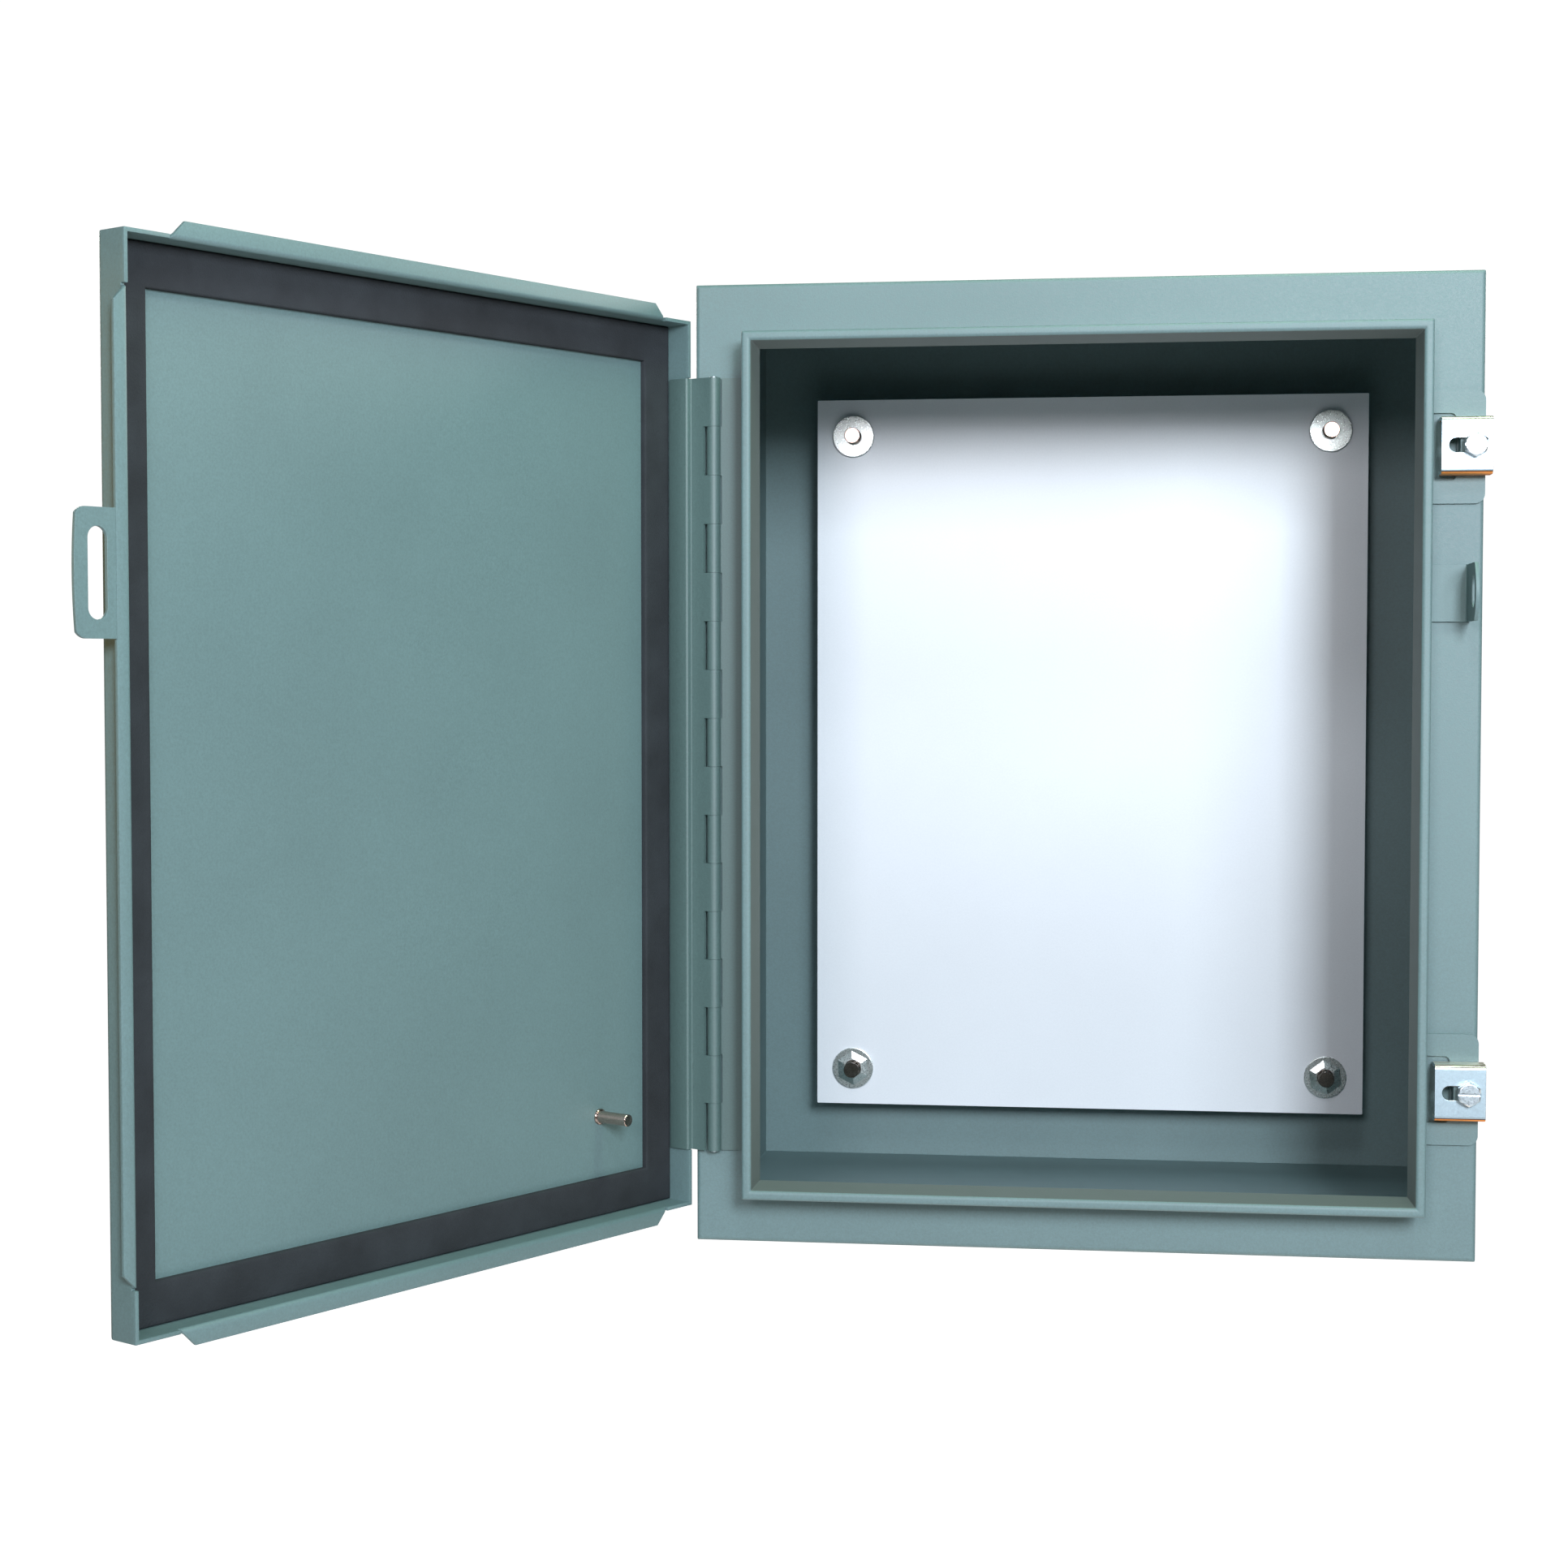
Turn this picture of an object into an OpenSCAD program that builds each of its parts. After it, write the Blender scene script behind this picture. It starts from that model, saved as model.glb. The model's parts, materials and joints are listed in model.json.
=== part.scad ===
// Wall-mounted control panel enclosure: sheet-steel cabinet with a hinged door.
// Millimetres, +Z up. Origin: centre of the wall plane, on the rear faces of the
// two mounting feet. The cabinet's open front faces -Y, +X is to the right when
// facing it, and the door is hinged at the left edge.

/* [Cabinet] */
// Outer width of the cabinet
box_w = 406.4; // [380:0.1:440]
// Outer height of the cabinet
box_h = 508.0; // [500:0.1:540]
// Depth from the back plate to the front face, without the collar
box_d = 254.0; // [150:1:400]
// Sheet thickness of cabinet and door
sheet_t = 1.9; // [1.5:0.1:2.2]
// Outside bend radius of the cabinet edges
bend_r = 2.2; // [2.2:0.1:4]

/* [Collar round the opening] */
// Width between the collar's outer faces
collar_w = 349.4; // [330:0.1:350]
// Height between the collar's outer faces
collar_h = 451.6; // [430:0.1:452]
// How far the collar stands in front of the front face
collar_p = 29.0; // [24:0.1:29.2]
// Thickness of the rolled collar, both layers together
collar_t = 5.2; // [4.6:0.1:6]
// Depth of the inner return, from the collar's front
throat_d = 16.2; // [8:0.1:20]
// How far the return leans into the opening at its rear edge
throat_lean = 2.4; // [0:0.1:4]

/* [Door] */
// Opening angle of the door in this pose
door_open = 120; // [0:1:125]
// Width of the door pan, without the latch lip
door_w = 368.6; // [366:0.1:369]
// Height of the door pan, without its lips
door_h = 469.7; // [460:0.1:472]
// Depth of the door pan, outer face to rim
door_d = 18.2; // [17:0.1:19]
// Gap between the closed door's rim and the cabinet's front face
door_gap = 16.4; // [16.2:0.1:18]
// Width of the lips along the top and bottom rim
lip_w = 6.4; // [4:0.1:8]
// Width of the lip along the latch rim
latch_lip_w = 5.6; // [4:0.1:6]
// Thickness of the gasket, pressed down
gasket_t = 3.2; // [2:0.1:3.4]
// Width of the gasket band
gasket_w = 19.4; // [12:0.1:21]

/* [Hinge] */
// Outside radius of the hinge barrel
barrel_r = 3.6; // [3.4:0.1:3.8]
// Radius of the hinge pin
pin_r = 2.05; // [1.8:0.05:2.1]
// Number of knuckles
knuckles = 16; // [8:2:20]
// Length of the hinge
hinge_len = 409.4; // [380:0.1:420]

/* [Inner panel] */
// Width of the inner panel
panel_w = 330.2; // [310:0.1:336]
// Height of the inner panel
panel_h = 431.8; // [420:0.1:440]
// Distance from the front face back to the inner panel
panel_y = 223.6; // [120:0.1:224]
// Distance between the mounting studs, side to side
stud_dx = 285.8; // [240:0.1:300]
// Distance between the mounting studs, up and down
stud_dz = 387.4; // [340:0.1:400]

/* [Clamps, hasp and staple] */
// Height of the two clamps above and below the middle
clamp_z = 164.3; // [150:0.1:172]
// How far both clamps are slid outwards
clamp_out = 0; // [0:0.1:9.3]
// Middle height of hasp and staple
hasp_z = 90.8; // [60:0.1:100]

/* [Hidden] */
$fn = 48;
foot_t = 3.0;              // mounting feet, plate thickness
foot_w = 304.8;            // width of a foot
foot_h = 50.8;             // height of a foot
foot_hole_dx = 254.0;      // wall holes, side to side
foot_hole_dz = 533.4;      // wall holes, up and down
foot_hole_r = 4.5;
front_y = -(foot_t + box_d);
bar_gap = 0.35;            // barrel to front face
hinge_x = -193.0;
hinge_y = -(barrel_r + bar_gap);
leaf_t = 1.5;              // leaf on the door, wall of the barrel
leaf_in = 10.8;            // how far it reaches down the flange's inner face
door_x0 = hinge_x + barrel_r;
door_x1 = door_x0 + door_w;
rim_y = -door_gap;
face_y = -(door_gap + door_d);
knuckle_l = hinge_len / knuckles;
knuckle_gap = 0.25;
fold_r = 1.4;              // collar, outer front edge
roll_r = 3.0;              // collar, roll into the opening
stud_r = 4.75;
nut_flange_r = 12.5;
nut_flange_t = 2.0;
nut_af = 18.0;             // crown, width across flats at its foot
nut_top_af = 10.8;
nut_crown_h = 1.1;
panel_t = 2.3;
screw_x = 197.0;
screw_r = 3.13;
tap_r = 3.2;
screw_head_af = 11.1;
screw_head_h = 4.4;
clamp_w = 25.5;
clamp_h = 29.2;
clamp_x0 = 180.2;
clamp_face = -14.0;
clamp_r = 2.7;
clamp_slot_h = 7.3;
clamp_slide = 9.5;
bracket_t = 2.0;
bracket_h = 57.4;
window_h = 34.4;
staple_z0 = 75.6;
staple_z1 = 104.8;
staple_x = 195.0;
staple_out = 36.5;
eps = 0.02;

steel_paint = [0.56, 0.70, 0.74];
zinc = [0.86, 0.88, 0.90];
stainless = [0.78, 0.80, 0.82];
copper = [0.72, 0.58, 0.50];
rubber = [0.16, 0.17, 0.20];

// ---------- placing ----------
// y = 0 is the cabinet's front face inside this module
module at_front() translate([0, front_y, 0]) children();

// door parts are drawn closed and swung open about the hinge pin
module on_door() at_front()
    translate([hinge_x, hinge_y, 0]) rotate([0, 0, -door_open])
    translate([-hinge_x, -hinge_y, 0]) children();

// extrudes a shape drawn in x, z from y0 back to y1
module slab(y0, y1) translate([0, y1, 0]) rotate([90, 0, 0])
    linear_extrude(height = y1 - y0) children();

// ---------- shared shapes ----------
module round_rect(x0, x1, z0, z1, r) {
    translate([x0 + r, z0]) square([x1 - x0 - 2 * r, z1 - z0]);
    translate([x0, z0 + r]) square([x1 - x0, z1 - z0 - 2 * r]);
    for (x = [x0 + r, x1 - r], z = [z0 + r, z1 - r]) translate([x, z]) circle(r = r);
}

// section across a folded box: front corners rounded, open shape behind
module folded_section(a0, a1, y0, y1, r) {
    translate([a0, y0 + r]) square([a1 - a0, y1 - y0 - r]);
    translate([a0 + r, y0]) square([a1 - a0 - 2 * r, r + eps]);
    for (a = [a0 + r, a1 - r]) translate([a, y0 + r]) circle(r = r);
}

// box with its front edges folded to a radius, mitred where the folds meet
module folded_box(x0, x1, z0, z1, y0, y1, r) intersection() {
    translate([0, 0, z0]) linear_extrude(height = z1 - z0) folded_section(x0, x1, y0, y1, r);
    translate([x0, 0, 0]) rotate([90, 0, 90]) linear_extrude(height = x1 - x0)
        rotate([0, 0, -90]) mirror([1, 0]) folded_section(z0, z1, y0, y1, r);
}

// slot with round ends, long side along x
module slot_x(x0, x1, z, h) {
    for (x = [x0 + h / 2, x1 - h / 2]) translate([x, z]) circle(d = h);
    translate([x0 + h / 2, z - h / 2]) square([x1 - x0 - h, h]);
}

// ---------- cabinet ----------
// section of the rolled collar: outer wall, rolled front, leaning inner return
module collar_section(o) {
    i = o - collar_t;
    fold_y = -(collar_p - fold_r);
    roll_y = -(collar_p - roll_r);
    translate([o - sheet_t, fold_y]) square([sheet_t, sheet_t + eps - fold_y]);
    translate([o - fold_r, fold_y]) circle(r = fold_r);
    translate([i + roll_r, -collar_p]) square([collar_t - roll_r - fold_r, sheet_t]);
    difference() {
        translate([i + roll_r, roll_y]) circle(r = roll_r);
        translate([i + roll_r, roll_y]) circle(r = roll_r - sheet_t);
        translate([i - 1, roll_y]) square([collar_t + 2, collar_t]);
        translate([i + roll_r, roll_y - roll_r - 1]) square([collar_t, roll_r + 2]);
    }
    polygon([[i, roll_y - eps], [i + sheet_t, roll_y - eps],
             [i + sheet_t - throat_lean, -(collar_p - throat_d)],
             [i - throat_lean, -(collar_p - throat_d)]]);
}

// one side of the collar, cut to its two mitres
module collar_side(o, half) {
    reach = 30;
    intersection() {
        linear_extrude(height = 2 * (half + 1), center = true) collar_section(o);
        slab(-collar_p - 5, sheet_t + 5)
            polygon([[o + 10, half + 10], [o - reach, half - reach],
                     [o - reach, -(half - reach)], [o + 10, -(half + 10)]]);
    }
}

module collar() {
    a = collar_w / 2;
    b = collar_h / 2;
    for (s = [0, 180]) rotate([0, s, 0]) collar_side(a, b);
    for (s = [90, 270]) rotate([0, s, 0]) collar_side(b, a);
}

module cabinet_shell() color(steel_paint) at_front() difference() {
    union() {
        difference() {
            folded_box(-box_w / 2, box_w / 2, -box_h / 2, box_h / 2, 0, box_d, bend_r);
            translate([-box_w / 2 + sheet_t, sheet_t, -box_h / 2 + sheet_t])
                cube([box_w - 2 * sheet_t, box_d, box_h - 2 * sheet_t]);
            translate([-collar_w / 2 + sheet_t, -1, -collar_h / 2 + sheet_t])
                cube([collar_w - 2 * sheet_t, sheet_t + 2, collar_h - 2 * sheet_t]);
        }
        collar();
    }
    for (s = [-1, 1]) translate([screw_x, -1, s * clamp_z]) rotate([-90, 0, 0])
        cylinder(r = 3.6, h = sheet_t + 2);
}

module cabinet_back() color(steel_paint) at_front()
    translate([-box_w / 2 + sheet_t, box_d - sheet_t, -box_h / 2 + sheet_t])
    cube([box_w - 2 * sheet_t, sheet_t, box_h - 2 * sheet_t]);

// s = 1 top foot, s = -1 bottom foot; the wall holes stand clear of the cabinet
module mounting_foot(s) color(steel_paint) slab(-foot_t, 0) difference() {
    round_rect(-foot_w / 2, foot_w / 2, s * box_h / 2 - foot_h / 2,
               s * box_h / 2 + foot_h / 2, 6);
    for (x = [-1, 1]) translate([x * foot_hole_dx / 2, s * foot_hole_dz / 2])
        circle(r = foot_hole_r);
}
module mounting_foot_top() mounting_foot(1);
module mounting_foot_bottom() mounting_foot(-1);

// ---------- inner panel ----------
// shoulder against the panel's back, then the threaded end
module panel_stud(i, k) color(copper) at_front()
    translate([i * stud_dx / 2, 0, k * stud_dz / 2]) rotate([-90, 0, 0]) {
        translate([0, 0, panel_y + panel_t])
            cylinder(r = 8, h = box_d - sheet_t - panel_y - panel_t);
        translate([0, 0, panel_y - 11.3])
            cylinder(r = stud_r, h = 11.3 + panel_t + 1);
    }
module panel_stud_ul() panel_stud(-1, 1);
module panel_stud_ur() panel_stud(1, 1);
module panel_stud_ll() panel_stud(-1, -1);
module panel_stud_lr() panel_stud(1, -1);

module inner_panel() color(zinc) at_front() slab(panel_y, panel_y + panel_t) difference() {
    round_rect(-panel_w / 2, panel_w / 2, -panel_h / 2, panel_h / 2, 0.5);
    for (i = [-1, 1], k = [-1, 1]) translate([i * stud_dx / 2, k * stud_dz / 2])
        circle(r = stud_r + 0.6);
}

// washer nut pressed from plate: flat flange and a low crown of six sloping faces
module flange_nut(i, k, turn) color(zinc) at_front()
    translate([i * stud_dx / 2, panel_y, k * stud_dz / 2]) rotate([90, turn, 0]) difference() {
        union() {
            cylinder(r = nut_flange_r, h = nut_flange_t);
            translate([0, 0, nut_flange_t - eps]) rotate([0, 0, 30])
                cylinder(d1 = nut_af / cos(30), d2 = nut_top_af / cos(30), h = nut_crown_h, $fn = 6);
        }
        translate([0, 0, -1]) cylinder(r = stud_r + 0.1, h = 10);
    }
module flange_nut_ul() flange_nut(-1, 1, -2);
module flange_nut_ur() flange_nut(1, 1, 10);
module flange_nut_ll() flange_nut(-1, -1, -3);
module flange_nut_lr() flange_nut(1, -1, -7);

// ---------- clamps ----------
// plate under a clamp, with the pocket beside the collar
module clamp_bracket(s) color(steel_paint) at_front() slab(-bracket_t, 0) difference() {
    union() {
        round_rect(collar_w / 2 + 10, box_w / 2 + 0.2, s * clamp_z - bracket_h / 2,
                   s * clamp_z + bracket_h / 2, 5);
        translate([collar_w / 2 + 0.3, s * clamp_z - bracket_h / 2]) square([16, bracket_h]);
    }
    round_rect(collar_w / 2 - 10, 189, s * clamp_z - window_h / 2,
               s * clamp_z + window_h / 2, 3);
    translate([screw_x, s * clamp_z]) circle(r = 3.6);
}
module clamp_bracket_upper() clamp_bracket(1);
module clamp_bracket_lower() clamp_bracket(-1);

// tapped block on the bracket, inside the clamp
module clamp_boss(s) color(steel_paint) at_front() slab(-10.5, -bracket_t) difference() {
    round_rect(190, 203, s * clamp_z - 7, s * clamp_z + 7, 1.5);
    translate([screw_x, s * clamp_z]) circle(r = tap_r);
}
module clamp_boss_upper() clamp_boss(1);
module clamp_boss_lower() clamp_boss(-1);

// channel with its open side towards the cabinet, slotted for the screw
module clamp_channel(s) color(stainless) at_front()
    translate([clamp_out, 0, s * clamp_z]) difference() {
        translate([clamp_x0, 0, 0]) rotate([90, 0, 90]) linear_extrude(height = clamp_w)
            difference() {
                union() {
                    translate([clamp_face + clamp_r, -clamp_h / 2])
                        square([-2.3 - clamp_face - clamp_r, clamp_h]);
                    translate([clamp_face, -clamp_h / 2 + clamp_r])
                        square([clamp_r + eps, clamp_h - 2 * clamp_r]);
                    for (z = [-1, 1]) translate([clamp_face + clamp_r,
                        z * (clamp_h / 2 - clamp_r)]) circle(r = clamp_r);
                }
                translate([clamp_face + sheet_t, -clamp_h / 2 + sheet_t])
                    square([20, clamp_h - 2 * sheet_t]);
            }
        slab(clamp_face - 1, clamp_face + 4)
            slot_x(screw_x - clamp_slide - clamp_slot_h / 2, screw_x + clamp_slot_h / 2,
                   0, clamp_slot_h);
    }
module clamp_upper() clamp_channel(1);
module clamp_lower() clamp_channel(-1);

// hex head with a driver slot, flats at the left and right
module clamp_screw(s) color(stainless) at_front()
    translate([screw_x, clamp_face - 0.2, s * clamp_z]) difference() {
        union() {
            rotate([90, 0, 0]) rotate([0, 0, 30])
                cylinder(d = screw_head_af / cos(30), h = screw_head_h, $fn = 6);
            rotate([-90, 0, 0]) cylinder(r = screw_r, h = 23);
        }
        translate([-10, -screw_head_h - 1, -0.7]) cube([20, 2.4, 1.4]);
    }
module clamp_screw_upper() clamp_screw(1);
module clamp_screw_lower() clamp_screw(-1);

// ---------- padlock staple and hasp ----------
// angle on the front face: foot against the collar, eye standing forward
module padlock_staple() color(steel_paint) at_front() {
    zc = (staple_z0 + staple_z1) / 2;
    hz = staple_z1 - staple_z0;
    rise = 6.5;
    arch_r = (hz * hz / 4 + rise * rise) / (2 * rise);
    translate([collar_w / 2 + 0.3, -sheet_t, staple_z0])
        cube([staple_x - 1 - collar_w / 2 - 0.3, sheet_t, hz]);
    translate([staple_x - 1, 0, staple_z0]) intersection() {
        translate([0, -sheet_t - 1, 0]) difference() {
            cylinder(r = sheet_t + 1, h = hz);
            translate([0, 0, -1]) cylinder(r = 1, h = hz + 2);
        }
        translate([0, -sheet_t - 1, 0]) cube([10, sheet_t + 1, hz]);
    }
    translate([staple_x, 0, 0]) rotate([90, 0, 90]) linear_extrude(height = sheet_t)
        difference() {
            intersection() {
                translate([-staple_out, staple_z0]) square([staple_out - sheet_t - 1, hz]);
                translate([-staple_out + arch_r, zc]) circle(r = arch_r);
            }
            for (z = [-3.2, 3.2]) translate([-26, zc + z]) circle(r = 5);
            translate([-31, zc - 3.2]) square([10, 6.4]);
        }
}

// slotted plate carried by the latch lip, its free edge slightly bowed
module door_hasp() color(steel_paint) on_door() slab(rim_y - sheet_t, rim_y) difference() {
    x0 = door_x1 + latch_lip_w;
    bow_r = 300;
    intersection() {
        union() {
            round_rect(x0 + 2, 206.1, hasp_z - 27.2, hasp_z + 27.2, 6);
            translate([x0, hasp_z - 27.2]) square([12, 54.4]);
        }
        translate([206.1 - bow_r, hasp_z]) circle(r = bow_r, $fn = 240);
    }
    round_rect(189.4, 199.2, hasp_z - 19.3, hasp_z + 19.3, 4.89);
}

// ---------- hinge ----------
// knuckles counted from the top: even ones belong to the door
module knuckle(i) {
    h = knuckle_l - knuckle_gap;
    translate([0, 0, hinge_len / 2 - (i + 1) * knuckle_l + knuckle_gap / 2]) difference() {
        cylinder(r = barrel_r, h = h);
        translate([0, 0, -1]) cylinder(r = pin_r + 0.05, h = h + 2);
    }
}

module hinge_leaf_cabinet() color(steel_paint) at_front() {
    translate([hinge_x, hinge_y, 0]) for (i = [1 : 2 : knuckles - 1]) knuckle(i);
    translate([hinge_x + barrel_r + 0.4, -bar_gap - leaf_t, -hinge_len / 2])
        cube([-collar_w / 2 - 0.3 - hinge_x - barrel_r - 0.4, bar_gap + leaf_t, hinge_len]);
    for (i = [1 : 2 : knuckles - 1])
        translate([hinge_x, -bar_gap - leaf_t,
                   hinge_len / 2 - (i + 1) * knuckle_l + knuckle_gap / 2])
        difference() {
            cube([barrel_r + 0.4 + eps, leaf_t, knuckle_l - knuckle_gap]);
            translate([0, -barrel_r + leaf_t, -1]) cylinder(r = pin_r + 0.05, h = knuckle_l + 2);
        }
}

// lies on the flange's inner face and steps over its notched rim to the barrel
module hinge_leaf_door() color(steel_paint) on_door() {
    translate([hinge_x, hinge_y, 0]) for (i = [0 : 2 : knuckles - 2]) knuckle(i);
    step_y = rim_y - leaf_t;
    translate([door_x0 + sheet_t, step_y - leaf_in, -hinge_len / 2])
        cube([leaf_t, leaf_in + leaf_t, hinge_len]);
    translate([door_x0 - leaf_t, step_y, -hinge_len / 2])
        cube([2 * leaf_t + sheet_t, leaf_t, hinge_len]);
    translate([door_x0 - leaf_t, step_y, -hinge_len / 2])
        cube([leaf_t, hinge_y - barrel_r - 0.4 - step_y, hinge_len]);
    for (i = [0 : 2 : knuckles - 2])
        translate([door_x0 - leaf_t, hinge_y - barrel_r - 0.4 - eps,
                   hinge_len / 2 - (i + 1) * knuckle_l + knuckle_gap / 2])
        cube([leaf_t, barrel_r + 0.4 + eps, knuckle_l - knuckle_gap]);
}

module hinge_pin() color(stainless) at_front()
    translate([hinge_x, hinge_y, -hinge_len / 2 - 0.5])
    cylinder(r = pin_r, h = hinge_len + 1);

// ---------- door ----------
module lip_top() {
    b = door_h / 2;
    polygon([[door_x0 + 21, b - 1], [door_x0 + 21 + lip_w + 1, b + lip_w],
             [door_x1 - 25 - lip_w - 1, b + lip_w], [door_x1 - 25, b - 1]]);
}
module lip_latch() {
    b = door_h / 2;
    polygon([[door_x1 - 1, b - 24], [door_x1 + latch_lip_w, b - 24 - latch_lip_w - 1],
             [door_x1 + latch_lip_w, -(b - 24 - latch_lip_w - 1)], [door_x1 - 1, -(b - 24)]]);
}

module door_pan() color(steel_paint) on_door() {
    b = door_h / 2;
    difference() {
        folded_box(door_x0, door_x1, -b, b, face_y, rim_y, 2.4);
        translate([door_x0 + sheet_t, face_y + sheet_t, -b + sheet_t])
            cube([door_w - 2 * sheet_t, door_d, door_h - 2 * sheet_t]);
        translate([door_x0 - 1, rim_y - leaf_t - 0.1, -hinge_len / 2 - 0.3])
            cube([sheet_t + 1 + eps, leaf_t + 1, hinge_len + 0.6]);
    }
    slab(rim_y - sheet_t, rim_y) {
        lip_top();
        mirror([0, 1]) lip_top();
        lip_latch();
    }
}

module door_gasket() color(rubber) on_door()
    slab(face_y + sheet_t, face_y + sheet_t + gasket_t) difference() {
        o = sheet_t + 0.4;
        b = door_h / 2;
        round_rect(door_x0 + o, door_x1 - o, -b + o, b - o, 1);
        round_rect(door_x0 + o + gasket_w, door_x1 - o - gasket_w,
                   -b + o + gasket_w, b - o - gasket_w, 1);
    }

module door_ground_stud() color(copper) on_door()
    translate([-133.6, face_y + sheet_t, -181.5]) rotate([-90, 0, 0]) {
        cylinder(r = 4.2, h = 1.2);
        cylinder(r = 3.175, h = 20);
    }

cabinet_shell();
cabinet_back();
mounting_foot_top();
mounting_foot_bottom();
panel_stud_ul();
panel_stud_ur();
panel_stud_ll();
panel_stud_lr();
inner_panel();
flange_nut_ul();
flange_nut_ur();
flange_nut_ll();
flange_nut_lr();
clamp_bracket_upper();
clamp_bracket_lower();
clamp_boss_upper();
clamp_boss_lower();
padlock_staple();
hinge_leaf_cabinet();
hinge_pin();
door_pan();
hinge_leaf_door();
door_gasket();
door_hasp();
door_ground_stud();
clamp_upper();
clamp_lower();
clamp_screw_upper();
clamp_screw_lower();
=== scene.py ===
"""Looks for a wall-mounted control panel enclosure with its door standing open.

Everything is in the row frame: metres, +Z up, the wall plane at y = 0 and the open front
facing -Y. Shapes are drawn in millimetres from the cabinet's front face, and at_front()
turns them into metres in the row frame. Door pieces are drawn as on the closed door and
swung to the rest pose about the hinge pin.
"""
import json
import math

import bmesh
import bpy
from mathutils import Matrix, Vector


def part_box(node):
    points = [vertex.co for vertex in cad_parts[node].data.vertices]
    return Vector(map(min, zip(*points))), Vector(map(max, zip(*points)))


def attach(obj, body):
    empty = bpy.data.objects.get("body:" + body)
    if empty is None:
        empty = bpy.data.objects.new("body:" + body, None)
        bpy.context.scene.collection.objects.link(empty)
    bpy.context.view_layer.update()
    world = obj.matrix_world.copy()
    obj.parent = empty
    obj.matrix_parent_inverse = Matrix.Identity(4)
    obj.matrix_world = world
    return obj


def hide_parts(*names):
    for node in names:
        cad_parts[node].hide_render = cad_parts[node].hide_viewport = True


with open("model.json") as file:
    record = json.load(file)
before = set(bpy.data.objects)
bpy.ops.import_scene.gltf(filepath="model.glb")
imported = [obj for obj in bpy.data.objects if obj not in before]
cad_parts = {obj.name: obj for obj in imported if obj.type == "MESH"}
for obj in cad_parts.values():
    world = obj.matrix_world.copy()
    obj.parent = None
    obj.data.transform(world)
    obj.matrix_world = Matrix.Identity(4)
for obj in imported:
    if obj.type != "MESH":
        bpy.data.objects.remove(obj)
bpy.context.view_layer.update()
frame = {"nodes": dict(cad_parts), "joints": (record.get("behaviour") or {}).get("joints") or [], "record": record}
scene = bpy.context.scene
MM = 0.001
WELD_M = 1e-6               # points closer than this are one, in metres
SMOOTH_ANGLE = 32.0         # degrees: sharper edges stay crisp

# ---------- sizes in millimetres, those of the CAD model unless said otherwise ----------
SHEET = 1.9                 # sheet thickness of cabinet and door
FRONT_Y = -257.0            # the cabinet's front face
BOX_HALF_W, BOX_HALF_H, BOX_D = 203.2, 254.0, 254.0
BEND_R = 2.2                # outside bend radius of the cabinet
COLLAR_HALF_W, COLLAR_HALF_H = 174.7, 225.8
CORNER_R = 0.7              # mitred corner where two folds meet
COLLAR_P = 29.0             # how far the collar stands forward
COLLAR_T = 5.2              # collar front, both layers
FOLD_R = 1.4                # collar front's outer fold
ROLL_R = 2.1                # collar front's roll into the opening, 3.0 in the CAD model
FOLD_CORNER, ROLL_CORNER = 0.6, 0.5         # corner radii of the collar and of hidden
END_CORNER, HIDDEN_CORNER = 0.4, 0.8        # faces, only used here
THROAT_D, THROAT_LEAN = 16.2, 2.4           # the collar's inner return: depth, slope
DOOR_X0, DOOR_X1, DOOR_HALF_H = -189.4, 179.2, 234.85
DOOR_FACE_Y, DOOR_RIM_Y = -34.6, -16.4
LIP_W, LATCH_LIP_W = 6.4, 5.6
LIP_START_HINGE, LIP_START_LATCH, LATCH_LIP_START = 21.0, 25.0, 24.0
PAN_FOLD_R = 1.5            # middle surface of the fold from rim to lip, only used here
PAN_FOLD_Y = DOOR_RIM_Y - SHEET / 2 - PAN_FOLD_R
GROUND_X, GROUND_Z = -133.6, -181.5         # ground stud on the closed door
GASKET_T, GASKET_W, GASKET_GAP = 3.2, 19.4, 2.3
HINGE_X, HINGE_Y, HINGE_LEN, KNUCKLES = -193.0, -3.95, 409.4, 16
BARREL_R, PIN_R, LEAF_T, LEAF_IN = 3.6, 2.1, 1.5, 10.8
NOTCH = 1.6                 # hinge-side rim cut back for the stepped leaf
SCREW_X, CLAMP_Z, SCREW_HOLE_R = 197.0, 164.3, 3.6
CLAMP_X0, CLAMP_X1, CLAMP_HALF_H = 180.2, 205.7, 14.6
CLAMP_FACE_Y, CLAMP_BACK_Y, CLAMP_R = -14.0, -2.3, 2.7
SLOT_X0, SLOT_X1, SLOT_H = 183.85, 200.65, 7.3


# ---------- node graph helpers ----------
MIX_FACTOR, MIX_A, MIX_B, MIX_RESULT = 0, 6, 7, 2       # a Mix node's colour sockets


def new_material(name):
    """Empty node material with its Principled shader: (material, nodes, links, shader)."""
    material = bpy.data.materials.new(name)
    material.use_nodes = True
    tree = material.node_tree
    shader = tree.nodes["Principled BSDF"]
    return material, tree.nodes, tree.links, shader


def object_coords(graph):
    return graph.new("ShaderNodeTexCoord").outputs["Object"]


def noise(graph, links, vector, scale, detail=3.0, rough=0.55):
    """Noise texture; scale is in cells per metre."""
    texture = graph.new("ShaderNodeTexNoise")
    texture.inputs["Scale"].default_value = scale
    texture.inputs["Detail"].default_value = detail
    texture.inputs["Roughness"].default_value = rough
    links.new(vector, texture.inputs["Vector"])
    return texture.outputs["Fac"]


def spread(graph, links, value, low, high, span=(0.3, 0.7)):
    """Maps a noise value's usual span to low..high."""
    ramp = graph.new("ShaderNodeMapRange")
    ramp.inputs["From Min"].default_value = span[0]
    ramp.inputs["From Max"].default_value = span[1]
    ramp.inputs["To Min"].default_value = low
    ramp.inputs["To Max"].default_value = high
    links.new(value, ramp.inputs["Value"])
    return ramp.outputs["Result"]


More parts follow.
